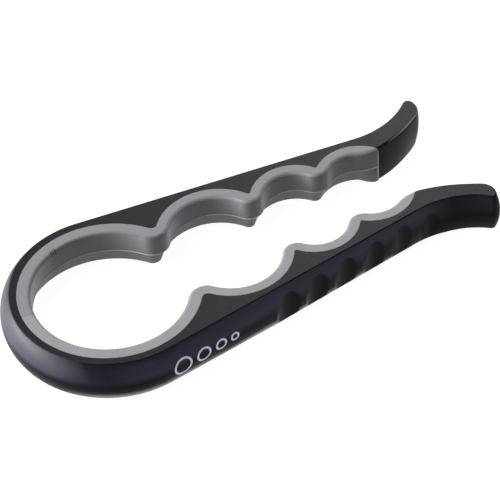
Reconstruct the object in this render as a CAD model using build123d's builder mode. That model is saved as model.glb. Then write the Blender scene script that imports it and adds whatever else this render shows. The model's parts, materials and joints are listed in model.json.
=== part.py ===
"""Four-size jar opener: a springy plastic loop with a soft grip liner, squeezed by two handles.

Millimetres. +X runs from the lid ring to the handle tips, +Z is up, Z = 0 is the flat underside.
Right is +Y and left is -Y. The two sides match, but for the left handle's end, which is longer.
Both mouldings are divided at Y = 0, across the line about which the bow flexes.
Plan positions below are from the ring centre, and are those of the right side.
"""

import os
from math import atan2, cos, hypot, radians, sin, sqrt, tan

from build123d import *

# Overall
HEIGHT = 20.0
MID_HEIGHT = HEIGHT / 2
RING_X = -63.75  # puts the origin under the middle of the tool
SPLIT_GAP = 0.1  # between the two halves, at the crown of the bow
PAST_AXIS = 10.0  # outlines run this far across Y = 0, so that the cuts there are clean

# Outer edge of the top face
CROWN_R = 43.5
ARM_TAPER = radians(7.07)  # each arm closes in towards the handles
FLARE_X = 137.4  # where the straight arm turns into the flared handle
FLARE_R = 40.0
TIP_CENTRE = (164.2, 32.0)
LEFT_TIP_LONGER = 1.8  # along the handle
TIP_R = 8.0
TIP_CORNER_R = 2.5

# Outer wall: how far the barrel stands out beyond the top edge
CROWN_BULGE = 4.27
CROWN_FOOT = 0.96
HANDLE_BULGE = 1.6
HANDLE_FOOT = 0.3
TOP_EDGE_R = 0.8
FOOT_EDGE_R = 1.7
WALL_DEPTH = 2.2
CORE_INSET = 1.5  # the core of each arm starts this far in and overlaps the wall

# Seat of the liner in the frame: hollows (x, y, radius), and the noses between them
SEAT_HOLLOWS = [(0.0, 0.0, 40.0), (56.1, 6.65, 27.0), (96.2, 8.4, 20.0), (126.5, 4.5, 19.9)]
SEAT_NOSES = [2.5, 1.1, 0.9]
LINER_THICKNESS = [6.0, 5.4, 5.4, 5.4]  # in each hollow
GRIP_NOSES = [7.9, 6.7, 7.1]  # noses of the gripping face
LAST_NOSE_R = 20.2
HANDLE_ARC = (131.0, 83.4, 69.2)  # inner edge of the flared handle
MOUTH_X = 178.0  # past the handle tips
INNER_EDGE = 0.7  # bevel along the top inner edge

# Lead-in: below its parting line the gripping face steps back and flares, so a lid finds its way in
PARTING_HEIGHT = 9.3
LEAD_STEP = 1.6
LEAD_IN = 4.0
LEAD_IN_END_X = 134.0

# Row of keying teeth on the frame's seat, buried in the liner
KEY_DEPTH = 2.0
KEY_HEIGHT = 5.0
KEY_END_X = 128.0
KEY_GAP = 5.0
KEY_GAPS_PER_TURN = [16, 12, 10, 10]  # round each hollow

# Finger hollows in the outer wall
GROOVE_START_X = 66.0
GROOVE_PITCH = 15.6
GROOVE_COUNT = 6
GROOVE_R = 14.0
GROOVE_SHARE = 0.64  # of the barrel's height, so each hollow fades out above and below


def between(start, end, distance):
    """The point at a distance from start on the way to end."""
    length = hypot(end[0] - start[0], end[1] - start[1])
    return (
        start[0] + (end[0] - start[0]) * distance / length,
        start[1] + (end[1] - start[1]) * distance / length,
    )


def crossing(a, radius_a, b, radius_b):
    """Where two circles cross, on the left of the way from centre a to centre b."""
    span = hypot(b[0] - a[0], b[1] - a[1])
    along = (radius_a**2 - radius_b**2 + span**2) / (2 * span)
    aside = sqrt(radius_a**2 - along**2)
    ux, uy = (b[0] - a[0]) / span, (b[1] - a[1]) / span
    return (a[0] + along * ux - aside * uy, a[1] + along * uy + aside * ux)


def contact(a, b):
    """Where two tangent circles (x, y, radius) touch. A nose counts its radius as negative."""
    return (
        (b[0] * a[2] - a[0] * b[2]) / (a[2] - b[2]),
        (b[1] * a[2] - a[1] * b[2]) / (a[2] - b[2]),
    )


def with_noses(hollows, nose_radii):
    """The hollows in order, with the tangent nose between each two."""
    circles = [hollows[0]]
    for first, second, nose_r in zip(hollows, hollows[1:], nose_radii):
        x, y = crossing(first, first[2] + nose_r, second, second[2] + nose_r)
        circles += [(x, y, -nose_r), second]
    return circles


def grown(circles, distance):
    """The same run of circles, moved into the plastic by a distance."""
    return [(x, y, radius + distance) for x, y, radius in circles]


def arc_about(centre, start, end):
    """The shorter arc about a centre."""
    middle = ((start[0] + end[0]) / 2, (start[1] + end[1]) / 2)
    radius = hypot(start[0] - centre[0], start[1] - centre[1])
    return ThreePointArc(start, between(centre, middle, radius), end)


def inner_face(circles, end, level):
    """The open space inside a run of circles, as a face at a level; end is its last point."""
    ring_r = circles[0][2]
    start = (-sqrt(ring_r**2 - PAST_AXIS**2), -PAST_AXIS)
    stops = [start] + [contact(a, b) for a, b in zip(circles, circles[1:])] + [end]
    with BuildSketch(Plane((RING_X, 0, level))) as face:
        with BuildLine():
            for circle, first, second in zip(circles, stops, stops[1:]):
                arc_about(circle, first, second)
            Polyline(end, (end[0], -PAST_AXIS), start)
        make_face()
    return face.sketch


def upper_point(circle, x):
    """The point of a circle at x: its top for a hollow, its bottom for a nose."""
    rise = sqrt(circle[2] ** 2 - (x - circle[0]) ** 2)
    return (x, circle[1] + (rise if circle[2] > 0 else -rise))


def wall_section(plane, bulge, foot):
    """Section of the outer wall: x runs outwards from the top edge, y up from the underside."""
    with BuildSketch(plane) as section:
        with BuildLine():
            Polyline((0, HEIGHT), (-WALL_DEPTH, HEIGHT), (-WALL_DEPTH, 0), (foot, 0))
            ThreePointArc((foot, 0), (bulge, MID_HEIGHT), (0, HEIGHT))
        make_face()
        fillet(section.vertices().sort_by_distance((0, HEIGHT))[:1], TOP_EDGE_R)
        fillet(section.vertices().sort_by_distance((foot, 0))[:1], FOOT_EDGE_R)
    return section.sketch


def arm_plane(point):
    """Section plane across the straight arm, facing along it."""
    return Plane(
        origin=(RING_X + point[0], point[1], 0),
        x_dir=(sin(ARM_TAPER), cos(ARM_TAPER), 0),
        z_dir=(cos(ARM_TAPER), -sin(ARM_TAPER), 0),
    )


def outer_edge_y(x):
    """The outer edge of the top face beside the grip."""
    if x < FLARE_X:
        return SHOULDER[1] - (x - SHOULDER[0]) * tan(ARM_TAPER)
    return upper_point((*FLARE_CENTRE, -FLARE_R), x)[1]


def groove_centre(x):
    """Centre of an upright cylinder that cuts one finger hollow into the right arm."""
    share = min(1, (x - SHOULDER[0]) / (FLARE_X - SHOULDER[0]))
    bulge = CROWN_BULGE + (HANDLE_BULGE - CROWN_BULGE) * share
    foot = CROWN_FOOT + (HANDLE_FOOT - CROWN_FOOT) * share
    depth = (bulge - foot / 2) * GROOVE_SHARE
    return (RING_X + x, outer_edge_y(x) + bulge - depth + GROOVE_R, MID_HEIGHT)


# Points of the outer edge, in order from the crown of the bow to the inner side of the tip
SHOULDER = (CROWN_R * sin(ARM_TAPER), CROWN_R * cos(ARM_TAPER))
FLARE_START = (FLARE_X, SHOULDER[1] - (FLARE_X - SHOULDER[0]) * tan(ARM_TAPER))
FLARE_CENTRE = (FLARE_X + FLARE_R * sin(ARM_TAPER), FLARE_START[1] + FLARE_R * cos(ARM_TAPER))
HANDLE_CIRCLE = (HANDLE_ARC[0], HANDLE_ARC[1], -HANDLE_ARC[2])


def tip_further(distance):
    """Centre of a handle's end, moved along the handle, which keeps it tangent to the inner edge."""
    reach = HANDLE_ARC[2] - TIP_R
    turn = atan2(TIP_CENTRE[1] - HANDLE_ARC[1], TIP_CENTRE[0] - HANDLE_ARC[0]) + distance / reach
    return (HANDLE_ARC[0] + reach * cos(turn), HANDLE_ARC[1] + reach * sin(turn))


def corner_centre(tip_centre):
    """Centre of the small corner between the flare and the round end of the handle."""
    return crossing(FLARE_CENTRE, FLARE_R + TIP_CORNER_R, tip_centre, TIP_R - TIP_CORNER_R)


def tip_stops(tip_centre, inset):
    """The last points of the outer edge, inset into the plastic: corner, corner, inner side."""
    flare = (*FLARE_CENTRE, -FLARE_R - inset)
    corner = (*corner_centre(tip_centre), TIP_CORNER_R - inset)
    tip = (*tip_centre, TIP_R - inset)
    inner_side = between(tip_centre, contact(HANDLE_CIRCLE, (*tip_centre, -TIP_R)), TIP_R - inset)
    return [contact(flare, corner), contact(corner, tip), inner_side]


# Runs of circles that the inner faces follow
SEAT = with_noses(SEAT_HOLLOWS, SEAT_NOSES)
GRIP_HOLLOWS = [(x, y, r - t) for (x, y, r), t in zip(SEAT_HOLLOWS, LINER_THICKNESS)]
GRIP = with_noses(GRIP_HOLLOWS, GRIP_NOSES)
LAST_NOSE = crossing(
    HANDLE_ARC, HANDLE_ARC[2] - LAST_NOSE_R, GRIP_HOLLOWS[-1], GRIP_HOLLOWS[-1][2] + LAST_NOSE_R
)
GRIP_AND_HANDLE = GRIP + [(*LAST_NOSE, -LAST_NOSE_R), HANDLE_CIRCLE]


def opening(spread, level):
    """The open space between the arms, out past the handle tips."""
    circles = grown(GRIP_AND_HANDLE, spread)
    return inner_face(circles, upper_point(circles[-1], MOUTH_X), level)


def lead_in(spread, level):
    """The open space inside the gripping face alone."""
    circles = grown(GRIP, spread)
    return inner_face(circles, upper_point(circles[-1], LEAD_IN_END_X), level)


def seat(spread, level=0):
    """The space inside the liner's seat in the frame."""
    circles = grown(SEAT, spread)
    x, y, radius = circles[-1]
    return inner_face(circles, (x + radius, y), level)


def arm_edge(tip_centre, inset):
    """The outer edge from the flare to the inner side of the tip, inset into the plastic."""
    flare_start = between(FLARE_CENTRE, FLARE_START, FLARE_R + inset)
    corner_start, corner_end, inner_side = tip_stops(tip_centre, inset)
    arc_about(FLARE_CENTRE, flare_start, corner_start)
    arc_about(corner_centre(tip_centre), corner_start, corner_end)
    arc_about(tip_centre, corner_end, inner_side)
    return inner_side


def envelope(tip_centre):
    """One half of the whole tool, before it is divided into frame and liner."""
    with BuildPart() as half:
        bow_plane = Plane(origin=(RING_X - CROWN_R, 0, 0), x_dir=(-1, 0, 0), z_dir=(0, 1, 0))
        with BuildLine(Plane((RING_X, 0, 0))) as bow_edge:
            arc_about((0, 0), (-CROWN_R, 0), SHOULDER)
        sweep(wall_section(bow_plane, CROWN_BULGE, CROWN_FOOT), path=bow_edge.line)

        arm_sections = [
            wall_section(arm_plane(SHOULDER), CROWN_BULGE, CROWN_FOOT),
            wall_section(arm_plane(FLARE_START), HANDLE_BULGE, HANDLE_FOOT),
        ]
        loft(arm_sections, ruled=True)

        with BuildLine(Plane((RING_X, 0, 0))) as tip_edge:
            arm_edge(tip_centre, 0)
        sweep(wall_section(arm_plane(FLARE_START), HANDLE_BULGE, HANDLE_FOOT), path=tip_edge.line)

        with BuildSketch(Plane((RING_X, 0, 0))):
            with BuildLine():
                crown = (CORE_INSET - CROWN_R, 0)
                shoulder = between((0, 0), SHOULDER, CROWN_R - CORE_INSET)
                arc_about((0, 0), crown, shoulder)
                Line(shoulder, between(FLARE_CENTRE, FLARE_START, FLARE_R + CORE_INSET))
                inner_side = arm_edge(tip_centre, CORE_INSET)
                past_inner_side = between(tip_centre, inner_side, 1.5 * TIP_R)
                Polyline(inner_side, past_inner_side, (GRIP_HOLLOWS[-1][0], 0), crown)
            make_face()
        extrude(amount=HEIGHT)

        extrude(opening(0, 0), amount=HEIGHT, mode=Mode.SUBTRACT)
        bevel = [opening(0, HEIGHT - INNER_EDGE), opening(INNER_EDGE, HEIGHT)]
        loft(bevel, ruled=True, mode=Mode.SUBTRACT)
        lead_ins = [lead_in(LEAD_IN, 0), lead_in(LEAD_STEP, PARTING_HEIGHT)]
        loft(lead_ins, ruled=True, mode=Mode.SUBTRACT)
        groove_places = [GROOVE_START_X + i * GROOVE_PITCH for i in range(GROOVE_COUNT)]
        with Locations([groove_centre(x) for x in groove_places]):
            Cylinder(GROOVE_R, HEIGHT, mode=Mode.SUBTRACT)
        split(bisect_by=Plane.XZ.offset(-SPLIT_GAP / 2), keep=Keep.BOTTOM)
    return half.part


# The row of keying teeth along the seat
with BuildPart() as keys:
    key_level = MID_HEIGHT - KEY_HEIGHT / 2
    extrude(seat(0, key_level), amount=KEY_HEIGHT)
    extrude(seat(-KEY_DEPTH, key_level), amount=KEY_HEIGHT, mode=Mode.SUBTRACT)
    with BuildSketch(Plane((RING_X, 0, key_level))):
        for (x, y, radius), count in zip(SEAT_HOLLOWS, KEY_GAPS_PER_TURN):
            with Locations((x, y)):
                with PolarLocations(radius, count):
                    Rectangle(3 * KEY_DEPTH, KEY_GAP)
        with Locations((KEY_END_X, -PAST_AXIS)):
            Rectangle(2 * HEIGHT, CROWN_R, align=(Align.MIN, Align.MIN))
    extrude(amount=KEY_HEIGHT, mode=Mode.SUBTRACT)
    split(bisect_by=Plane.XZ.offset(-SPLIT_GAP / 2), keep=Keep.BOTTOM)


def frame_half(tip_centre):
    """One half of the frame, on the right side."""
    with BuildPart() as half:
        add(envelope(tip_centre))
        extrude(seat(0, 0), amount=HEIGHT, mode=Mode.SUBTRACT)
        add(keys.part)
    return half.part


# Frame: the springy black moulding, in two halves
with BuildPart() as frame_right:
    add(frame_half(TIP_CENTRE))

with BuildPart() as frame_left:
    mirror(frame_half(tip_further(LEFT_TIP_LONGER)), about=Plane.XZ)

# Liner: the soft grey moulding, which fills everything between the seat and the gripping face
with BuildPart() as liner_right:
    add(envelope(TIP_CENTRE))
    add(frame_right.part, mode=Mode.SUBTRACT)

with BuildPart() as liner_left:
    mirror(liner_right.part, about=Plane.XZ)

os.makedirs("parts", exist_ok=True)
frame_right.part.label = "frame_right"
frame_left.part.label = "frame_left"
liner_right.part.label = "liner_right"
liner_left.part.label = "liner_left"
export_step(frame_right.part, "parts/frame_right.step")
export_step(frame_left.part, "parts/frame_left.step")
export_step(liner_right.part, "parts/liner_right.step")
export_step(liner_left.part, "parts/liner_left.step")
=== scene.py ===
"""Looks of the four-size jar opener: one springy black frame, one soft grey grip liner, and a print.

The frame and the liner are each one moulding on the real tool, so each is one continuous mesh here.
It stands for the two CAD halves.
Plan sizes are in millimetres from the ring centre; meshes are made in metres in the part's frame.
"""

import json
from math import acos, atan2, cos, hypot, pi, radians, sin, sqrt, tan

import bmesh
import bpy
import numpy as np
from mathutils import Matrix, Vector


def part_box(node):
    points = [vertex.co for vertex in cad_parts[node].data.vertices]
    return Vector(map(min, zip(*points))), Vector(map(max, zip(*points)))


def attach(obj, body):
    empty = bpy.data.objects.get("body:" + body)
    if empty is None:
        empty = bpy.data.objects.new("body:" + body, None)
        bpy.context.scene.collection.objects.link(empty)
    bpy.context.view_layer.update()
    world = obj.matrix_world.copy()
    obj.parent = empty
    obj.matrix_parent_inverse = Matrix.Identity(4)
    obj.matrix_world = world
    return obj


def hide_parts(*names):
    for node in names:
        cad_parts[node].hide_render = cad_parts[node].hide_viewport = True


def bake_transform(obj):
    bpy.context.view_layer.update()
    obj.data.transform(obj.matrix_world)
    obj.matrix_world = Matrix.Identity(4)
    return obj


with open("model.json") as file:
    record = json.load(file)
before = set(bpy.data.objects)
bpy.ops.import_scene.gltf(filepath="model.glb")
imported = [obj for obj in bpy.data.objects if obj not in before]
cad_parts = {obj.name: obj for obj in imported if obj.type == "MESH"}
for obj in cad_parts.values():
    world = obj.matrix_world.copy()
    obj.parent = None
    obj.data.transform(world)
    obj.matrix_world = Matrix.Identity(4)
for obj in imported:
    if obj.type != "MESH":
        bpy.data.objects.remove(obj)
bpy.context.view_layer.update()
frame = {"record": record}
MM = 0.001

# Driving dimensions, the same as in the CAD
RING_X = frame["record"]["mounts"][0]["pos_m"][0] / MM
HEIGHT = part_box("frame_right")[1].z / MM
MID_HEIGHT = HEIGHT / 2
CROWN_R = 43.5
ARM_TAPER = radians(7.07)
FLARE_X = 137.4
FLARE_R = 40.0
TIP_CENTRE = (164.2, 32.0)
LEFT_TIP_LONGER = 1.8
TIP_R = 8.0
TIP_CORNER_R = 2.5
# The liner's seat in the frame: hollows (x, y, radius) and the noses between them
SEAT_HOLLOWS = [(0.0, 0.0, 40.0), (56.1, 6.65, 27.0), (96.2, 8.4, 20.0), (126.5, 4.5, 19.9)]
SEAT_NOSES = [2.5, 1.1, 0.9]
# The gripping face lies inside it, and past its last nose comes the handle's inner arc (x, y, radius)
LINER_THICKNESS = [6.0, 5.4, 5.4, 5.4]
GRIP_NOSES = [7.9, 6.7, 7.1]
LAST_NOSE_R = 20.2
HANDLE_ARC = (131.0, 83.4, 69.2)

# Outer wall: barrel height and foot offset, by distance along the tool from the ring centre
BULGE_AT_X = ([0.0, 137.0, 160.0], [4.25, 1.6, 1.55])
FOOT_AT_X = ([0.0, 60.0, 105.0, 130.0, 150.0], [0.96, 1.8, 1.0, 0.75, 0.75])
# The same by share of the way round the tip, outside and inside
TIP_OUTER_BULGE = ([0.0, 0.7, 0.85, 1.0], [1.57, 1.4, 1.0, 0.45])
TIP_OUTER_FOOT = ([0.0, 0.3, 0.55, 1.0], [0.7, -0.1, -0.6, -1.1])
TIP_INNER_BULGE = ([0.0, 0.6, 0.78, 1.0], [0.05, 0.1, 0.3, 0.45])
TIP_INNER_FOOT = ([0.0, 0.5, 1.0], [-0.9, -1.2, -1.2])
# How far in the left handle's top edge starts, by distance and by share of the tip
LEAN_AT_X = ([138.0, 152.0], [0.0, 0.5])
TIP_LEAN = ([0.0, 0.4, 0.8, 1.0], [0.5, 1.0, 0.8, 0.0])
# Least barrel height of a wall, and the radii of the rounded edges
FLATTEST = 0.02
TOP_EDGE_R = 0.8
FOOT_EDGE_R = 1.7
INNER_TOP_R = 1.6
INNER_FOOT_R = 0.7
# Shares of the tip between which its inner edges take on the outer ones' radii
ROUNDER_TIP = (0.5, 1)

# Finger hollows in the outer wall
GROOVE_START_X = 66.0
GROOVE_PITCH = 15.6
GROOVE_FADE = [1.0, 1.0, 1.0, 1.0, 0.95, 0.75]
GROOVE_R = 13.0
GROOVE_REACH = 0.95 * GROOVE_R
GROOVE_SHARE = 0.64
GROOVE_SOFTNESS = 0.22

# Gripping face of the liner
PARTING_HEIGHT = 9.3
LEDGE_HEIGHT = 0.7
LEAD_STEP = 1.6
LEAD_IN = 4.0
LEAD_IN_FADE_X = (133.0, 142.0)
RIDGE = 0.22
RIDGE_HALF_WIDTH = 0.3
LIP = 0.16
LIP_SHARE = 0.3

# Mesh density: longest steps, counts of steps, and rows by share of a stretch
STEP = 0.8
TURN_STEP = radians(7.5)
TIP_ZONE_X = 152.0
TIP_STEPS = 64
SIDE_STEPS = 60
END_STEPS = 40
FILLET_STEPS = 6
WALL_STEPS = 26
UPPER_STEPS = 7
RIDGE_ROWS = np.array([0.75, 0.5, 0.25, 0])
LEDGE_ROWS = np.array([0.15, 0.3, 0.45, 0.6, 0.8, 1])
LOWER_STEPS = 8
ACROSS = [0.2, 0.4, 0.6, 0.8]
SUPPORT = 0.3
SUPPORT_SHARE = 0.15
MERGE = 1e-6
SHARP_ANGLE = radians(35)


def between(start, end, distance):
    """The point at a distance from start on the way to end."""
    length = hypot(end[0] - start[0], end[1] - start[1])
    return (
        start[0] + (end[0] - start[0]) * distance / length,
        start[1] + (end[1] - start[1]) * distance / length,
    )


def crossing(a, radius_a, b, radius_b):
    """Where two circles cross, on the left of the way from centre a to centre b."""
    span = hypot(b[0] - a[0], b[1] - a[1])
    along = (radius_a**2 - radius_b**2 + span**2) / (2 * span)
    aside = sqrt(radius_a**2 - along**2)
    ux, uy = (b[0] - a[0]) / span, (b[1] - a[1]) / span
    return (a[0] + along * ux - aside * uy, a[1] + along * uy + aside * ux)


def contact(a, b):
    """Where two tangent circles (x, y, radius) touch. A nose counts its radius as negative."""
    return (
        (b[0] * a[2] - a[0] * b[2]) / (a[2] - b[2]),
        (b[1] * a[2] - a[1] * b[2]) / (a[2] - b[2]),
    )


def with_noses(hollows, nose_radii):
    """The hollows in order, with the tangent nose between each two."""
    circles = [hollows[0]]
    for first, second, nose_r in zip(hollows, hollows[1:], nose_radii):
        x, y = crossing(first, first[2] + nose_r, second, second[2] + nose_r)
        circles += [(x, y, -nose_r), second]
    return circles


def angle_about(centre, point):
    """Direction of a point from a centre."""
    return atan2(point[1] - centre[1], point[0] - centre[0])


def arc_track(circle, start, end, count):
    """Points along a circle and the normals there, which point into the plastic: (count + 1, 4)."""
    first, last = angle_about(circle, start), angle_about(circle, end)
    if last - first > pi:
        last -= 2 * pi
    if first - last > pi:
        last += 2 * pi
    turn = np.linspace(first, last, count + 1)
    radius = hypot(start[0] - circle[0], start[1] - circle[1])
    out = np.stack([np.cos(turn), np.sin(turn)], 1)
    inwards = out * (1 if circle[2] > 0 else -1)
    return np.concatenate([np.array(circle[:2]) + radius * out, inwards], 1)


def arc_count(circle, start, end):
    """How many steps an arc needs."""
    turn = abs(angle_about(circle, end) - angle_about(circle, start))
    turn = min(turn, 2 * pi - turn)
    return max(2, round(max(abs(circle[2]) * turn / STEP, turn / TURN_STEP)))


# Circles of the plan
HANDLE_CIRCLE = (HANDLE_ARC[0], HANDLE_ARC[1], -HANDLE_ARC[2])
SEAT = with_noses(SEAT_HOLLOWS, SEAT_NOSES)
GRIP_HOLLOWS = [(x, y, r - t) for (x, y, r), t in zip(SEAT_HOLLOWS, LINER_THICKNESS)]
GRIP = with_noses(GRIP_HOLLOWS, GRIP_NOSES)
LAST_NOSE_CENTRE = crossing(
    HANDLE_ARC, HANDLE_ARC[2] - LAST_NOSE_R, GRIP_HOLLOWS[-1], GRIP_HOLLOWS[-1][2] + LAST_NOSE_R
)
LAST_NOSE = (*LAST_NOSE_CENTRE, -LAST_NOSE_R)
SEAM_END = crossing(LAST_NOSE, LAST_NOSE_R, SEAT[-1], SEAT[-1][2])
SHOULDER = (CROWN_R * sin(ARM_TAPER), CROWN_R * cos(ARM_TAPER))
FLARE_START = (FLARE_X, SHOULDER[1] - (FLARE_X - SHOULDER[0]) * tan(ARM_TAPER))
FLARE_CENTRE = (FLARE_X + FLARE_R * sin(ARM_TAPER), FLARE_START[1] + FLARE_R * cos(ARM_TAPER))


def tip_further(distance):
    """Centre of a handle's end, moved along the handle."""
    reach = HANDLE_ARC[2] - TIP_R
    turn = angle_about(HANDLE_ARC, TIP_CENTRE) + distance / reach
    return (HANDLE_ARC[0] + reach * cos(turn), HANDLE_ARC[1] + reach * sin(turn))


def smoothstep(value, start, end):
    """From 0 at the start to 1 at the end, level at both."""
    t = np.clip((value - start) / (end - start), 0, 1)
    return t * t * (3 - 2 * t)


def liner_tracks():
    """The gripping face and the seat from the crown to the end of the liner, in matching steps."""
    last = SEAT[-1]
    grip_stops = [contact(a, b) for a, b in zip(GRIP, GRIP[1:] + [LAST_NOSE])]
    seat_stops = [contact(a, b) for a, b in zip(SEAT, SEAT[1:])]
    seat_stops.append(between(last, grip_stops[-1], last[2]))
    grip_stops.insert(0, (-GRIP[0][2], 0))
    seat_stops.insert(0, (-SEAT[0][2], 0))
    grip_track, seat_track = [], []
    for i, (grip_circle, seat_circle) in enumerate(zip(GRIP, SEAT)):
        grip_ends, seat_ends = grip_stops[i:i + 2], seat_stops[i:i + 2]
        count = max(arc_count(grip_circle, *grip_ends), arc_count(seat_circle, *seat_ends))
        # the first point of each arc but the first is the last of the one before
        skip = 1 if i else 0
        grip_track.append(arc_track(grip_circle, *grip_ends, count)[skip:])
        seat_track.append(arc_track(seat_circle, *seat_ends, count)[skip:])
    # past the last hollow the seat lies where the nose's own radii cross it
    ends = (grip_stops[-1], SEAM_END)
    nose = arc_track(LAST_NOSE, *ends, 2 * arc_count(LAST_NOSE, *ends))[1:]
    grip_track.append(nose)
    seat_nose = nose.copy()
    for row in seat_nose:
        to_seat = np.array(last[:2]) - row[:2]
        ahead = to_seat @ row[2:]
        row[:2] += row[2:] * (ahead + sqrt(max(0, last[2] ** 2 - to_seat @ to_seat + ahead**2)))
    seat_track.append(seat_nose)
    return np.concatenate(grip_track), np.concatenate(seat_track)


def resampled(track, count):
    """A track in equal steps of length, without its first point."""
    length = np.concatenate([[0], np.cumsum(np.hypot(*np.diff(track[:, :2], axis=0).T))])
    places = np.linspace(0, length[-1], count + 1)[1:]
    even = np.stack([np.interp(places, length, column) for column in track.T], 1)
    even[:, 2:] /= np.hypot(even[:, 2], even[:, 3])[:, None]
    return even


def outer_at(x):
    """Point and inward normal of the outer edge of the top face, from the shoulder to the flare."""
    if x < SHOULDER[0]:
        y = sqrt(CROWN_R**2 - x**2)
        return (x, y, -x / CROWN_R, -y / CROWN_R)
    if x < FLARE_START[0]:
        return (x, SHOULDER[1] - (x - SHOULDER[0]) * tan(ARM_TAPER), -sin(ARM_TAPER), -cos(ARM_TAPER))
    away = (x - FLARE_CENTRE[0]) / FLARE_R
    down = sqrt(1 - away**2)
    return (x, FLARE_CENTRE[1] - FLARE_R * down, away, -down)


def handle_at(x):
    """Point and inward normal of the inner edge of the handle."""
    circle = LAST_NOSE if x < contact(LAST_NOSE, HANDLE_CIRCLE)[0] else HANDLE_CIRCLE
    away = (x - circle[0]) / -circle[2]
    down = sqrt(1 - away**2)
    return (x, circle[1] + circle[2] * down, -away, down)


def frame_tracks(grip_track, seat_track, tip_centre):
    """Outer edge and inner edge of the frame from the crown to the middle of the tip's end."""
    outer = []
    for x, y in seat_track[:, :2]:
        if x < 0:
            radius = hypot(x, y)
            outer.append((x / radius * CROWN_R, y / radius * CROWN_R, -x / radius, -y / radius))
        else:
            outer.append(outer_at(x))
    handle_x = np.arange(SEAM_END[0], TIP_ZONE_X, STEP)[1:]
    outer += [outer_at(x) for x in handle_x]
    handle = [handle_at(x) for x in handle_x]

    flare = (*FLARE_CENTRE, FLARE_R)
    tip = (*tip_centre, -TIP_R)
    corner_at = crossing(flare, FLARE_R + TIP_CORNER_R, tip_centre, TIP_R - TIP_CORNER_R)
    corner = (*corner_at, -TIP_CORNER_R)
    corner_start = contact(flare, corner)
    corner_end = contact(corner, tip)
    inner_side = contact(HANDLE_CIRCLE, tip)
    end_turn = (angle_about(tip, corner_end) + angle_about(tip, inner_side)) / 2
    end = (tip[0] + TIP_R * cos(end_turn), tip[1] + TIP_R * sin(end_turn))
    outer_tip = np.concatenate([
        arc_track(flare, outer[-1][:2], corner_start, SIDE_STEPS),
        arc_track(corner, corner_start, corner_end, END_STEPS)[1:],
        arc_track(tip, corner_end, end, END_STEPS)[1:],
    ])
    inner_tip = np.concatenate([
        arc_track(HANDLE_CIRCLE, handle[-1][:2], inner_side, SIDE_STEPS),
        arc_track(tip, inner_side, end, END_STEPS)[1:],
    ])
    outer = np.concatenate([outer, resampled(outer_tip, TIP_STEPS)])
    handle = np.concatenate([handle, resampled(inner_tip, TIP_STEPS)])
    inner = np.concatenate([seat_track, handle])
    return outer, inner


def turned(centre, radius, first, last, count):
    """Points of an arc in a section (offset, height), from one angle to another."""
    turn = np.linspace(first, last, count + 1)
    return np.stack([centre[0] + radius * np.cos(turn), centre[1] + radius * np.sin(turn)], 1)


def barrel(bulge, foot, top_r, foot_r):
    """Section of a wall from the top face to the bottom one: (offset outwards, height) rows."""
    bulge = max(bulge, foot / 2 + FLATTEST)
    # the circle through (foot, 0), (bulge, middle) and (0, height)
    aside = bulge - foot / 2
    half = hypot(MID_HEIGHT, foot / 2)
    radius = (half**2 + aside**2) / (2 * aside)
    tilt = atan2(foot, HEIGHT)
    centre = (foot / 2 - (radius - aside) * cos(tilt), MID_HEIGHT - (radius - aside) * sin(tilt))
    top_z, foot_z = HEIGHT - top_r, foot_r
    top = (centre[0] + sqrt((radius - top_r) ** 2 - (top_z - centre[1]) ** 2), top_z)
    low = (centre[0] + sqrt((radius - foot_r) ** 2 - (foot_z - centre[1]) ** 2), foot_z)
    top_turn = angle_about(centre, top)
    low_turn = angle_about(centre, low)
    return np.concatenate([
        turned(top, top_r, pi / 2, top_turn, FILLET_STEPS),
        turned(centre, radius, top_turn, low_turn, WALL_STEPS)[1:-1],
        turned(low, foot_r, low_turn, -pi / 2, FILLET_STEPS),
    ])


def edge_height(depth, radius):
    """How far a rounded edge lies under the face, at a depth into the plastic."""
    short = max(0.0, radius - depth)
    return radius - sqrt(radius**2 - short**2)


def hollowed(offsets, x):
    """A wall's offsets with the finger hollows cut in, softly at their rims."""
    for i, fade in enumerate(GROOVE_FADE):
        centre_x = GROOVE_START_X + i * GROOVE_PITCH
        aside = (x - centre_x) / cos(ARM_TAPER)
        if abs(aside) >= GROOVE_REACH:
            continue
        bulge = np.interp(centre_x, *BULGE_AT_X)
        depth = (bulge - np.interp(centre_x, *FOOT_AT_X) / 2) * GROOVE_SHARE * fade
        floor = bulge - depth + GROOVE_R - sqrt(GROOVE_R**2 - aside**2)
        blend = np.clip(0.5 + 0.5 * (offsets - floor) / GROOVE_SOFTNESS, 0, 1)
        offsets = offsets + (floor - offsets) * blend - GROOVE_SOFTNESS * blend * (1 - blend)
    return offsets


def placed(point, section):
    """A section's rows as points of the part's frame. Offsets run outwards, against the normal."""
    x, y, normal_x, normal_y = point
    return np.stack([
        RING_X + x - normal_x * section[:, 0],
        y - normal_y * section[:, 0],
        section[:, 1],
    ], 1)


def across(start, end):
    """Points on the way from one edge to the other, with a support row beside each."""
    width = np.linalg.norm(end - start)
    support = min(SUPPORT / width, SUPPORT_SHARE) if width > 0 else SUPPORT_SHARE
    shares = np.concatenate([[support], ACROSS, [1 - support]])
    return start + (end - start) * shares[:, None]


def outer_wall(x, tip_share, leaning):
    """Section of the frame's outer wall, at x or at a share of the way round the tip."""
    if tip_share > 0:
        tables, at = (TIP_OUTER_BULGE, TIP_OUTER_FOOT, TIP_LEAN), tip_share
    else:
        tables, at = (BULGE_AT_X, FOOT_AT_X, LEAN_AT_X), x
    bulge, foot, lean = [np.interp(at, *table) for table in tables]
    if not leaning:
        lean = 0.0
    wall = barrel(bulge + lean, foot + lean, TOP_EDGE_R, FOOT_EDGE_R)
    wall[:, 0] -= lean
    if tip_share == 0:
        wall[:, 0] = hollowed(wall[:, 0], x)
    return wall


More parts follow.
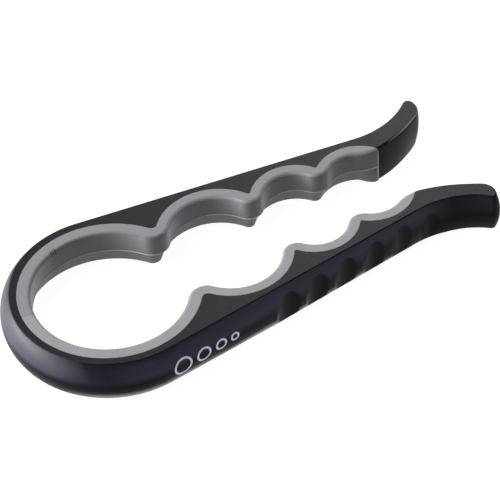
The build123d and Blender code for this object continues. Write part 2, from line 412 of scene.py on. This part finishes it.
def inner_wall(tip_share, liner_depth):
    """Section of the frame's inner wall. Under the liner its edges go on from the liner's own."""
    bulge, foot = np.interp(tip_share, *TIP_INNER_BULGE), np.interp(tip_share, *TIP_INNER_FOOT)
    end_share = smoothstep(tip_share, *ROUNDER_TIP)
    top_r = INNER_TOP_R + (TOP_EDGE_R - INNER_TOP_R) * end_share
    foot_r = INNER_FOOT_R + (FOOT_EDGE_R - INNER_FOOT_R) * end_share
    wall = barrel(bulge, foot, top_r, foot_r)
    if liner_depth is not None:
        covered = -wall[:, 0] < liner_depth
        row = np.arange(len(wall))
        wall[covered & (row <= FILLET_STEPS), 1] = HEIGHT - edge_height(liner_depth, top_r)
        wall[covered & (row >= len(wall) - 1 - FILLET_STEPS), 1] = edge_height(liner_depth, foot_r)
        wall[:, 0] = np.minimum(wall[:, 0], -liner_depth) + liner_depth
    return wall


def frame_rings(grip_track, seat_track, tip_centre, leaning):
    """Closed sections of one half of the frame, on the right side, from the crown to the tip."""
    outer, inner = frame_tracks(grip_track, seat_track, tip_centre)
    count, seat_count = len(outer), len(seat_track)
    tip_share = np.clip((np.arange(count) - (count - 1 - TIP_STEPS)) / TIP_STEPS, 0, 1)
    rings = []
    for i in range(count):
        outside = placed(outer[i], outer_wall(max(outer[i, 0], 0.0), tip_share[i], leaning))
        if i < seat_count:
            depth = np.hypot(*(seat_track[i, :2] - grip_track[i, :2]))
            station = np.concatenate([seat_track[i, :2], grip_track[i, 2:]])
        else:
            depth, station = None, inner[i]
        inside = placed(station, inner_wall(tip_share[i], depth))
        rings.append(np.concatenate([
            outside[::-1], across(outside[0], inside[0]), inside, across(inside[-1], outside[-1]),
        ]))
    return np.array(rings)


def rounded(corner, towards_first, towards_last, radius, count):
    """A rounded corner of a section, between two directions."""
    first = np.array(towards_first) / np.hypot(*towards_first)
    last = np.array(towards_last) / np.hypot(*towards_last)
    half = acos(np.clip(first @ last, -1, 1)) / 2
    middle = (first + last) / np.hypot(*(first + last))
    centre = np.array(corner) + middle * radius / sin(half)
    start = np.array(corner) + first * radius / tan(half)
    end = np.array(corner) + last * radius / tan(half)
    begin, finish = angle_about(centre, start), angle_about(centre, end)
    if finish - begin > pi:
        finish -= 2 * pi
    if begin - finish > pi:
        finish += 2 * pi
    return turned(centre, radius, begin, finish, count)


def grip_section(share, depth):
    """Gripping face from the top to the bottom: (depth into the plastic, height) rows."""
    lead, step = LEAD_IN * share, LEAD_STEP * share
    ledge_foot = PARTING_HEIGHT - LEDGE_HEIGHT
    top = rounded((0, HEIGHT), (1, 0), (0, -1), INNER_TOP_R, FILLET_STEPS)
    low = rounded((lead, 0), (step - lead, ledge_foot), (1, 0), INNER_FOOT_R, FILLET_STEPS)
    upper = np.linspace(top[-1, 1], PARTING_HEIGHT + RIDGE_HALF_WIDTH, UPPER_STEPS)[1:]
    ridge = PARTING_HEIGHT + RIDGE_HALF_WIDTH * RIDGE_ROWS
    ledge = PARTING_HEIGHT - LEDGE_HEIGHT * LEDGE_ROWS
    lower = np.linspace(ledge_foot, low[0, 1], LOWER_STEPS)[1:-1]
    heights = np.concatenate([upper, ridge, ledge, lower])
    back = step * smoothstep(-heights, -PARTING_HEIGHT, -ledge_foot)
    flare = (lead - step) * np.clip(1 - heights / ledge_foot, 0, 1)
    rise = np.clip(1 - np.abs(heights - PARTING_HEIGHT) / RIDGE_HALF_WIDTH, 0, 1)
    wall = np.stack([back + flare - RIDGE * smoothstep(rise, 0, 1) * min(1, depth), heights], 1)
    section = np.concatenate([top, wall, low])
    # where the liner is thinner than its face is shaped, the face stops at the seat
    past = section[:, 0] > depth
    upper_half = section[:, 1] > MID_HEIGHT
    section[past & upper_half, 1] = HEIGHT - edge_height(depth, INNER_TOP_R)
    section[past & ~upper_half, 1] = edge_height(depth, INNER_FOOT_R)
    section[:, 0] = np.minimum(section[:, 0], depth)
    return section


def liner_rings(grip_track, seat_track):
    """Closed sections of the liner's right half, from the crown to its end."""
    rings = []
    for grip, seat in zip(grip_track, seat_track):
        depth = np.hypot(*(seat[:2] - grip[:2]))
        section = grip_section(1 - smoothstep(grip[0], *LEAD_IN_FADE_X), depth)
        inside = placed(grip, section * np.array([-1, 1]))
        # the back is flat, with a small lip rounded along its upper and lower edges
        lip = min(LIP, LIP_SHARE * depth)
        low, high = edge_height(depth, INNER_FOOT_R), HEIGHT - edge_height(depth, INNER_TOP_R)
        backing = section.copy()
        backing[:, 0] = 0
        backing[:, 1] = np.clip(backing[:, 1], low + lip, high - lip)
        turn = np.linspace(0, pi / 2, FILLET_STEPS + 1)
        rounding = lip * np.stack([1 - np.sin(turn), 1 - np.cos(turn)], 1)
        backing[:FILLET_STEPS + 1] = np.stack([rounding[:, 0], high - rounding[:, 1]], 1)
        backing[-FILLET_STEPS - 1:] = np.stack([rounding[::-1, 0], low + rounding[::-1, 1]], 1)
        back = placed(np.concatenate([seat[:2], grip[2:]]), backing)
        rings.append(np.concatenate([
            inside[::-1], across(inside[0], back[0]), back, across(back[-1], inside[-1]),
        ]))
    return np.array(rings)


# Meshes

# The frame's two materials
TOP_FACE, WALL_FACE = 0, 1


def both_arms(right, left):
    """The right half's sections and the left half's mirrored ones, as one run from tip to tip."""
    return np.concatenate([left[:0:-1] * np.array([1, -1, 1]), right])


def skinned(name, rings, face_slots, materials):
    """A closed mesh through a run of closed sections, whose end sections are folded flat."""
    stations, rows = rings.shape[:2]
    mesh = bpy.data.meshes.new(name)
    index = np.arange(stations * rows).reshape(stations, rows)
    ahead, beside = index[1:], np.roll(index, -1, 1)
    quads = np.stack([index[:-1], beside[:-1], beside[1:], ahead], -1).reshape(-1, 4)
    mesh.from_pydata((rings.reshape(-1, 3) * MM).tolist(), [], quads.tolist())
    for material in materials:
        mesh.materials.append(material)
    mesh.polygons.foreach_set("material_index", np.tile(face_slots, stations - 1))
    built = bmesh.new()
    built.from_mesh(mesh)
    bmesh.ops.remove_doubles(built, verts=built.verts, dist=MERGE)
    bmesh.ops.dissolve_degenerate(built, edges=built.edges, dist=MERGE)
    bmesh.ops.recalc_face_normals(built, faces=built.faces)
    built.to_mesh(mesh)
    built.free()
    mesh.shade_smooth()
    mesh.set_sharp_from_angle(angle=SHARP_ANGLE)
    piece = bpy.data.objects.new(name, mesh)
    bpy.context.scene.collection.objects.link(piece)
    return piece


def section_slots(rings, wall_slot, face_slot):
    """Material of each strip of a closed section, in the order of its rows."""
    across_rows = len(ACROSS) + 2
    wall_rows = (rings.shape[1] - 2 * across_rows) // 2
    walls = [wall_slot] * (wall_rows - 1)
    faces = [face_slot] * (across_rows + 1)
    return walls + faces + walls + faces


# Materials

# The Mix node's two colour inputs and its colour output
MIX_FIRST, MIX_LAST, MIX_RESULT = 6, 7, 2


class Pattern:
    """A value that varies over a surface. Arithmetic with it adds nodes to the material's tree."""

    def __init__(self, socket):
        self.socket = socket
        self.tree = socket.id_data

    def with_math(self, operation, other=0.0):
        """One step of arithmetic, with another pattern or a number."""
        node = self.tree.nodes.new("ShaderNodeMath")
        node.operation = operation
        link(self, node.inputs[0])
        if isinstance(other, Pattern):
            link(other, node.inputs[1])
        else:
            node.inputs[1].default_value = other
        return Pattern(node.outputs["Value"])

    def __add__(self, other):
        return self.with_math("ADD", other)

    def __sub__(self, other):
        return self.with_math("SUBTRACT", other)

    def __mul__(self, other):
        return self.with_math("MULTIPLY", other)

    def __truediv__(self, other):
        return self.with_math("DIVIDE", other)

    def __abs__(self):
        return self.with_math("ABSOLUTE")

    def or_more(self, other):
        return self.with_math("MAXIMUM", other)

    def spread(self, low, high, to_low, to_high):
        """Mapped from one range to another, and held at its ends."""
        node = self.tree.nodes.new("ShaderNodeMapRange")
        node.inputs["From Min"].default_value = low
        node.inputs["From Max"].default_value = high
        node.inputs["To Min"].default_value = to_low
        node.inputs["To Max"].default_value = to_high
        link(self, node.inputs["Value"])
        return Pattern(node.outputs["Result"])

    def rising(self, low, high, top=1.0):
        """0 below a range, the top value above it."""
        return self.spread(low, high, 0, top)

    def falling(self, low, high, rest=0.0):
        """1 below a range, the rest value above it."""
        return self.spread(low, high, 1, rest)

    def within(self, start, end, top=1.0):
        """The top value between two ranges, 0 outside them."""
        return self.rising(*start, top) * self.falling(*end)


def link(source, target):
    """Join a pattern or an output to an input of the same tree."""
    output = source.socket if isinstance(source, Pattern) else source
    output.id_data.links.new(output, target)


def new_material(name):
    """A node material: itself, its principled shader and the place in object space."""
    material = bpy.data.materials.new(name)
    material.use_nodes = True
    nodes = material.node_tree.nodes
    return material, nodes["Principled BSDF"], nodes.new("ShaderNodeTexCoord").outputs["Object"]


def noise(place, scale, detail=3.0, roughness=0.6):
    """A noise pattern; scale is in cells per metre."""
    node = place.id_data.nodes.new("ShaderNodeTexNoise")
    node.inputs["Scale"].default_value = scale
    node.inputs["Detail"].default_value = detail
    node.inputs["Roughness"].default_value = roughness
    link(place, node.inputs["Vector"])
    return Pattern(node.outputs["Fac"])


def parts(vector):
    """The x, y and z of a place or a direction."""
    node = vector.id_data.nodes.new("ShaderNodeSeparateXYZ")
    link(vector, node.inputs["Vector"])
    return [Pattern(output) for output in node.outputs]


def facing(place):
    """How far a surface faces the handle tips and how far it faces up, from -1 to 1 each."""
    geometry = place.id_data.nodes.new("ShaderNodeNewGeometry")
    towards_tips, _, up = parts(geometry.outputs["Normal"])
    return towards_tips, up


def local_place(place, origin, turn):
    """A place seen from a point of the plan, x along a turned direction."""
    node = place.id_data.nodes.new("ShaderNodeMapping")
    node.vector_type = "TEXTURE"
    node.inputs["Location"].default_value = ((RING_X + origin[0]) * MM, origin[1] * MM, 0)
    node.inputs["Rotation"].default_value = (0, 0, turn)
    link(place, node.inputs["Vector"])
    return node.outputs["Vector"]


def distance_from(place, point):
    """How far a place is from a point of the plan at a height, in metres."""
    node = place.id_data.nodes.new("ShaderNodeVectorMath")
    node.operation = "DISTANCE"
    link(place, node.inputs[0])
    node.inputs[1].default_value = ((RING_X + point[0]) * MM, point[1] * MM, point[2] * MM)
    return Pattern(node.outputs["Value"])


def mixed(share, first, last):
    """A colour between two, each a constant or the output of another mix."""
    node = share.tree.nodes.new("ShaderNodeMix")
    node.data_type = "RGBA"
    link(share, node.inputs["Factor"])
    for socket, colour in ((node.inputs[MIX_FIRST], first), (node.inputs[MIX_LAST], last)):
        if isinstance(colour, tuple):
            socket.default_value = (*colour, 1)
        else:
            link(colour, socket)
    return node.outputs[MIX_RESULT]


def painted(base, *coats):
    """A colour with others laid over it in turn: (share, colour) each."""
    for share, colour in coats:
        base = mixed(share, base, colour)
    return base


def ramp(value, stops):
    """A colour from a pattern, by stops of (value, colour)."""
    node = value.tree.nodes.new("ShaderNodeValToRGB")
    link(value, node.inputs["Fac"])
    elements = node.color_ramp.elements
    while len(elements) < len(stops):
        elements.new(0.5)
    for element, (position, colour) in zip(elements, stops):
        element.position = position
        element.color = (*colour, 1)
    return node.outputs["Color"]


def bumped(shader, *layers):
    """Relief from several patterns: (pattern, height in metres) each."""
    normal = None
    for pattern, height in layers:
        node = pattern.tree.nodes.new("ShaderNodeBump")
        node.inputs["Strength"].default_value = 1.0
        node.inputs["Distance"].default_value = height
        link(pattern, node.inputs["Height"])
        if normal:
            link(normal, node.inputs["Normal"])
        normal = node.outputs["Normal"]
    link(normal, shader.inputs["Normal"])


# Thresholds of the noise patterns, so that they fill their range
CLOUDY = (0.35, 0.65)
SPECKLED = (0.35, 0.75)
EVEN = (0.3, 0.7)

CHARCOAL = [(0.0018, 0.0017, 0.0036), (0.0030, 0.0028, 0.0052)]
CHARCOAL_SPECK = (0.0065, 0.0063, 0.0085)


def grained_plastic():
    """Fine-grained matte charcoal of the frame's flat faces."""
    material, shader, place = new_material("black_plastic_grained")
    grain = noise(place, 3500, roughness=0.7)
    pebble = noise(place, 1300)
    cloud = noise(place, 60)
    base = mixed(cloud.rising(*CLOUDY), *CHARCOAL)
    link(mixed(grain.rising(*SPECKLED), base, CHARCOAL_SPECK), shader.inputs["Base Color"])
    link(grain.spread(*EVEN, 0.38, 0.50), shader.inputs["Roughness"])
    shader.inputs["Specular IOR Level"].default_value = 0.08
    bumped(shader, (grain, 0.00003), (pebble, 0.0001))
    return material


# Painted reflection on the walls, by how far up they face: 0.5 upright, 1 straight up
DARK, BLUISH_REFLECTION = (0.0026, 0.0025, 0.0042), (0.038, 0.037, 0.057)
PAINTED_WALL_REFLECTION = [(0.51, DARK), (0.60, BLUISH_REFLECTION), (0.76, BLUISH_REFLECTION), (0.90, DARK)]
CLOUDED = (0.009, 0.009, 0.012)
# painted light on the crown's upward-leaning wall
CROWN_LIGHT = (0.054, 0.055, 0.062)
# painted highlight on the finger hollows' rims
RIM_HIGHLIGHT = (0.11, 0.11, 0.12)
GLEAM = (0.13, 0.13, 0.14)
# painted reflection of the floor on the foot edge
FOOT_REFLECTION = (0.60, 0.60, 0.61)

# Where the walls change along the tool, x in metres of the part's frame. Each change takes a short
# range, and a stretch has one where it starts and one where it ends.
CROWN_END = (-0.107, -0.093)
DARK_SHOULDER = ((-0.106, -0.092), (-0.086, -0.070))
FOOT_REFLECTION_STRETCH = ((-0.101, -0.088), (0.070, 0.082))
FOOT_REFLECTION_FULLER = (-0.030, -0.018)
FOOT_REFLECTION_LOWER = (-0.024, -0.008)
HANDLE_START = (0.076, 0.090)
GLEAM_START = (0.084, 0.096)
# The same across the tool, from the left arm to the right one, and in height
MIDDLE = (-0.001, 0.001)
RIM_HIGHLIGHT_HEIGHTS = (0.004, 0.011)
# The same by how far up the wall faces, from -1 straight down to 1 straight up
CROWN_LIGHT_SLOPE = (0.15, 0.45)
TOP_EDGE = ((0.5, 0.7), (0.92, 0.98))
FOOT_EDGE = ((-0.82, -0.60), (-0.46, -0.24))
# The same by share of the way from one finger hollow to the next, from the middle of a hollow
HOLLOW_EDGE = (0.30, 0.40)
RIM_HIGHLIGHT_SPAN = ((-0.44, -0.40), (-0.39, -0.31))


def satin_plastic():
    """Smoother black of the frame's walls, with painted reflection: bluish where they lean up, pale
    along the foot edge.
    """
    material, shader, place = new_material("black_plastic_satin")
    grain = noise(place, 2200)
    cloud = noise(place, 45)
    x, y, z = parts(place)
    _, up = facing(place)

    # painted shade round the bow's shoulders and on the handles, where the painted reflection goes
    # back to dark, and painted light on the crown
    painted_reflection = ramp(up.rising(-1, 1), PAINTED_WALL_REFLECTION)
    dark = x.within(*DARK_SHOULDER, 0.70).or_more(x.rising(*HANDLE_START, 0.8))
    crown_light = up.rising(*CROWN_LIGHT_SLOPE) * x.falling(*CROWN_END)

    # which finger hollow, as a saw from -0.5 to 0.5 about the middle of each
    turn = (x - (RING_X + GROOVE_START_X) * MM) / (GROOVE_PITCH * MM)
    saw = (turn + 0.5).with_math("FRACT") - 0.5
    last = len(GROOVE_FADE) - 0.5
    row = turn.within((-0.50, -0.48), (last - 0.1, last))
    hollow = abs(saw).falling(*HOLLOW_EDGE) * row
    # painted highlight on their rims, on the ring's side and low down, less from one to the next
    rim = saw.within(*RIM_HIGHLIGHT_SPAN) * row * z.falling(*RIM_HIGHLIGHT_HEIGHTS)
    rim_highlight = rim * turn.falling(0.5, 3.5, 0.2) * y.falling(*MIDDLE, 0.3)

    # the top edge gleams at the far handle's end
    gleam = up.within(*TOP_EDGE) * x.rising(*GLEAM_START) * y.rising(0, MIDDLE[1])

    # painted reflection of the floor on the foot edge, between crown and handles, but not in the
    # hollows
    lower = up - x.rising(*FOOT_REFLECTION_LOWER, 0.085)
    foot_edge = up.rising(*FOOT_EDGE[0]) * lower.falling(*FOOT_EDGE[1])
    reflection_share = x.spread(*FOOT_REFLECTION_FULLER, 0.35, 0.9) * y.falling(*MIDDLE, 0.15)
    foot_reflection = foot_edge * reflection_share * x.within(*FOOT_REFLECTION_STRETCH) * hollow.falling(0, 1, 0.15)

    colour = painted(
        painted_reflection,
        (dark, DARK),
        (crown_light, CROWN_LIGHT),
        (cloud.rising(*CLOUDY, 0.16), CLOUDED),
        (rim_highlight, RIM_HIGHLIGHT),
        (gleam, GLEAM),
        (foot_reflection, FOOT_REFLECTION),
    )
    link(colour, shader.inputs["Base Color"])
    link(cloud.spread(*EVEN, 0.30, 0.38), shader.inputs["Roughness"])
    shader.inputs["Specular IOR Level"].default_value = 0.05
    bumped(shader, (grain, 0.00001))
    return material


RUBBER = [(0.134, 0.130, 0.138), (0.146, 0.142, 0.151)]
# a shade darker on the far side of the knit line
FAR_SIDE_DARKER = (0.108, 0.105, 0.113)
FINE_LINE = (0.085, 0.082, 0.086)
# painted light on walls facing along the tool
SIDE_LIGHT = (0.24, 0.235, 0.248)
# painted highlight on the liner's rounded top edge
EDGE_HIGHLIGHT = (0.19, 0.186, 0.196)
# painted highlight on the flash of the parting line and the liner's end
FLASH_HIGHLIGHT = (0.38, 0.375, 0.39)
# painted shade in the pit and the pinch marks
HOLE_SHADE = (0.008, 0.007, 0.008)

# Places of the liner's marks, in plan millimetres
PIT_PLACE = (141.3, 15.4, 7.35)
PIT_R = 0.35
PINCH_PLACE = (-10.4, 33.2)
PINCH_TURN = radians(107.4)
MARK_PLACE = (-13.9, -34.1)
MARK_TURN = radians(-112.1)
KNIT_ANGLE = radians(-6.6)
# Widths and ranges of its looks in metres, and of how far its face leans, from -1 to 1
KNIT_FADE = (-0.02, -0.01)
LINE_EDGE = (0.0001, 0.0003)
FLASH_EDGE = (0.00025, 0.00042)
END_FLASH = (-0.0007, -0.0004)
END_FLASH_TOP = (0.0170, 0.0185)
PINCH_PITCH = 0.0011
PINCH_HALF_WIDTH, PINCH_HALF_LENGTH = (0.0013, 0.0019), (0.0008, 0.0016)
PINCH_HEIGHTS = (0.0165, 0.0180)
MARK_END_X, MARK_END_Y = (-0.071, -0.070), (-0.025, -0.024)
EDGE_HIGHLIGHT_START = (-0.032, -0.024)
EDGE_HIGHLIGHT_SLOPES = ((0.1, 0.4), (0.80, 0.96))
UPRIGHT = (0.1, 0.5)
FACING_TIPS, FACING_RING = (0.30, 0.78), (-0.85, -0.35)


def grip_rubber():
    """Soft grey elastomer of the liner, with its parting line, fine lines, pinch marks and pit, and
    painted light and shade.
    """
    material, shader, place = new_material("grey_rubber")
    grain = noise(place, 2600, roughness=0.7)
    pebble = noise(place, 1100)
    cloud = noise(place, 70, detail=4)
    x, y, z = parts(place)
    towards_tips, up = facing(place)

    # the flow from the far side met the flow from the near one at the crown, in a fine knit line;
    # past the line the liner is a shade darker
    behind = (x - RING_X * MM).with_math("MINIMUM", 0.0)
    knit = behind * sin(KNIT_ANGLE) - y * cos(KNIT_ANGLE)
    far_side = knit.spread(-LINE_EDGE[0], LINE_EDGE[0], 0.8, 0)
    knit_line = abs(knit).spread(*LINE_EDGE, 0.6, 0) * behind.falling(*KNIT_FADE)

    # painted light on walls that face along the tool, and a painted highlight on the rounded top edge
    # from the ring on
    slant = towards_tips.rising(*FACING_TIPS).or_more(towards_tips.spread(*FACING_RING, 0.4, 0))
    side_light = slant * up.falling(*UPRIGHT)
    edge_highlight = up.within(*EDGE_HIGHLIGHT_SLOPES, 0.8) * x.rising(*EDGE_HIGHLIGHT_START)

    # painted highlight on the flash along the parting line and up the liner's end
    flash_highlight = abs(z - PARTING_HEIGHT * MM).falling(*FLASH_EDGE)
    past_seam = x - (RING_X + SEAM_END[0]) * MM
    end = past_seam.rising(*END_FLASH, 0.7) * z.falling(*END_FLASH_TOP)

    # painted shade in one pit and in three pinch marks side by side, and a second fine line
    pit = distance_from(place, PIT_PLACE).falling(PIT_R * MM, 1.8 * PIT_R * MM)
    outwards, sideways, _ = parts(local_place(place, PINCH_PLACE, PINCH_TURN))
    stripes = (sideways * (2 * pi / PINCH_PITCH)).with_math("SINE").rising(0.1, 0.8)
    patch = abs(sideways).falling(*PINCH_HALF_WIDTH) * abs(outwards).falling(*PINCH_HALF_LENGTH)
    pinches = stripes * patch * z.rising(*PINCH_HEIGHTS)
    _, beside, _ = parts(local_place(place, MARK_PLACE, MARK_TURN))
    mark_patch = x.falling(*MARK_END_X) * y.falling(*MARK_END_Y)
    mark = abs(beside).spread(*LINE_EDGE, 0.4, 0) * mark_patch

    colour = painted(
        mixed(cloud.rising(*CLOUDY), *RUBBER),
        (far_side, FAR_SIDE_DARKER),
        (knit_line, FINE_LINE),
        (side_light, SIDE_LIGHT),
        (edge_highlight, EDGE_HIGHLIGHT),
        (flash_highlight.or_more(end), FLASH_HIGHLIGHT),
        (pinches.or_more(pit), HOLE_SHADE),
        (mark, FINE_LINE),
    )
    link(colour, shader.inputs["Base Color"])
    link(grain.spread(*EVEN, 0.5, 0.64), shader.inputs["Roughness"])
    shader.inputs["Specular IOR Level"].default_value = 0.2
    bumped(shader, (grain, 0.00002), (pebble, 0.00007))
    return material


def print_ink():
    """Thin bluish white print."""
    material, shader, place = new_material("white_print")
    cover = noise(place, 1800, detail=4, roughness=0.7)
    ink = mixed(cover.rising(*EVEN), (0.46, 0.54, 0.70), (0.58, 0.66, 0.80))
    link(ink, shader.inputs["Base Color"])
    shader.inputs["Roughness"].default_value = 0.5
    return material


FLOOR_GLOW = 0.96


def pale_floor():
    """Backlit table, which keeps the shadows faint."""
    material, shader, place = new_material("floor")
    shade = mixed(noise(place, 3, detail=2), (0.10, 0.10, 0.10), (0.11, 0.11, 0.11))
    link(shade, shader.inputs["Base Color"])
    shader.inputs["Roughness"].default_value = 0.9
    shader.inputs["Specular IOR Level"].default_value = 0.1
    shader.inputs["Emission Color"].default_value = (1, 1, 1, 1)
    shader.inputs["Emission Strength"].default_value = FLOOR_GLOW
    return material


# The object

grip_track, seat_track = liner_tracks()
right_frame = frame_rings(grip_track, seat_track, TIP_CENTRE, False)
left_frame = frame_rings(grip_track, seat_track, tip_further(LEFT_TIP_LONGER), True)
liner_half = liner_rings(grip_track, seat_track)
frame_body = skinned(
    "frame_moulding",
    both_arms(right_frame, left_frame),
    section_slots(right_frame, WALL_FACE, TOP_FACE),
    [grained_plastic(), satin_plastic()],
)
liner = skinned(
    "grip_liner",
    both_arms(liner_half, liner_half),
    section_slots(liner_half, 0, 0),
    [grip_rubber()],
)

# Both are baked in place, and the CAD halves they stand for are hidden
for piece, nodes, slot in (
    (frame_body, ("frame_right", "frame_left"), "black_plastic"),
    (liner, ("liner_right", "liner_left"), "grey_rubber"),
):
    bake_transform(piece)
    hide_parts(*nodes)

# The print on the left arm's outer wall: a ring (x, outer radius) for each of the four lid sizes
PRINT_RINGS = [(9.6, 4.6), (20.4, 3.7), (29.4, 2.9), (36.6, 2.2)]
PRINT_HEIGHT = 9.6
PRINT_STROKE = 0.95
PRINT_PROUD = 0.04
PRINT_STEPS = 72


def wall_point(x, height, lift):
    """A point of the left arm's outer wall, lifted off it."""
    section = barrel(np.interp(x, *BULGE_AT_X), np.interp(x, *FOOT_AT_X), TOP_EDGE_R, FOOT_EDGE_R)
    offset = np.interp(-height, -section[:, 1], section[:, 0]) + lift
    point = placed(outer_at(x), np.array([[offset, height]]))[0]
    return (point * np.array([1, -1, 1]) * MM).tolist()


def print_ring(name, x, radius, material):
    """One printed ring, a hair proud of the wall."""
    built = bmesh.new()
    edges = [(radius, -PRINT_PROUD), (radius, PRINT_PROUD)]
    edges += [(radius - PRINT_STROKE, PRINT_PROUD), (radius - PRINT_STROKE, -PRINT_PROUD)]
    loops = []
    for i in range(PRINT_STEPS):
        turn = 2 * pi * i / PRINT_STEPS
        loops.append([
            built.verts.new(wall_point(x + r * cos(turn), PRINT_HEIGHT + r * sin(turn), lift))
            for r, lift in edges
        ])
    for first, second in zip(loops, loops[1:] + loops[:1]):
        for j in range(len(edges)):
            k = (j + 1) % len(edges)
            built.faces.new([first[j], first[k], second[k], second[j]])
    bmesh.ops.recalc_face_normals(built, faces=built.faces)
    mesh = bpy.data.meshes.new(name)
    built.to_mesh(mesh)
    built.free()
    mesh.materials.append(material)
    piece = bpy.data.objects.new(name, mesh)
    bpy.context.scene.collection.objects.link(piece)
    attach(piece, "left_arm")


ink = print_ink()
for number, (x, radius) in enumerate(PRINT_RINGS, 1):
    print_ring(f"print_ring_{number}", x, radius, ink)

# Stage

FLOOR_SIZE = 30
FLOOR_DROP = 0.00005
bpy.ops.mesh.primitive_plane_add(size=FLOOR_SIZE, location=(0, 0, -FLOOR_DROP))
floor = bpy.context.object
floor.name = "floor"
floor.data.materials.append(pale_floor())


def softbox(name, place, aim, width, depth, power):
    """A white rectangular light of a power in watts, turned to its aim."""
    light = bpy.data.lights.new(name, "AREA")
    light.shape = "RECTANGLE"
    light.size, light.size_y = width, depth
    light.energy = power
    lamp = bpy.data.objects.new(name, light)
    lamp.location = place
    lamp.rotation_euler = (Vector(aim) - Vector(place)).to_track_quat("-Z", "Y").to_euler()
    bpy.context.scene.collection.objects.link(lamp)


softbox("back_top", (-0.6, 0.5, 1.3), (0, 0, 0), 1.3, 1.0, 28)
softbox("left", (-1.10, 0.55, 0.31), (0, 0, 0), 1.0, 0.6, 52)
softbox("right", (1.2, -0.2, 0.35), (0, 0, 0), 0.8, 0.6, 5)
softbox("back_right", (0.46, 0.565, 0.60), (0.1, 0, 0), 0.35, 0.35, 7)

WORLD_COLOUR = (0.95, 0.97, 1.0)
WORLD_STRENGTH = 0.08
world = bpy.data.worlds.new("studio")
world.use_nodes = True
background = world.node_tree.nodes["Background"]
background.inputs["Color"].default_value = (*WORLD_COLOUR, 1)
background.inputs["Strength"].default_value = WORLD_STRENGTH
bpy.context.scene.world = world
bpy.context.scene.view_settings.view_transform = "Standard"

# Camera, at the photographer's place

CAMERA_AZIMUTH = radians(-27.491)
CAMERA_ELEVATION = radians(45.226)
CAMERA_ROLL = radians(-2.570)
CAMERA_DISTANCE = 1.34431
CAMERA_TARGET = Vector((-0.00085, -0.0103, 0.020))
LENS_MM = 224.4
SENSOR_MM = 36

back = Vector((
    sin(CAMERA_AZIMUTH) * cos(CAMERA_ELEVATION),
    -cos(CAMERA_AZIMUTH) * cos(CAMERA_ELEVATION),
    sin(CAMERA_ELEVATION),
))
right = Vector((cos(CAMERA_AZIMUTH), sin(CAMERA_AZIMUTH), 0))
up = back.cross(right)
rolled_right = cos(CAMERA_ROLL) * right + sin(CAMERA_ROLL) * up
rolled_up = -sin(CAMERA_ROLL) * right + cos(CAMERA_ROLL) * up
camera_data = bpy.data.cameras.new("camera")
camera_data.lens = LENS_MM
camera_data.sensor_width = SENSOR_MM
camera = bpy.data.objects.new("camera", camera_data)
camera.matrix_world = Matrix.Translation(CAMERA_TARGET + back * CAMERA_DISTANCE) @ Matrix(
    (rolled_right, rolled_up, back)
).transposed().to_4x4()
bpy.context.scene.collection.objects.link(camera)
bpy.context.scene.camera = camera
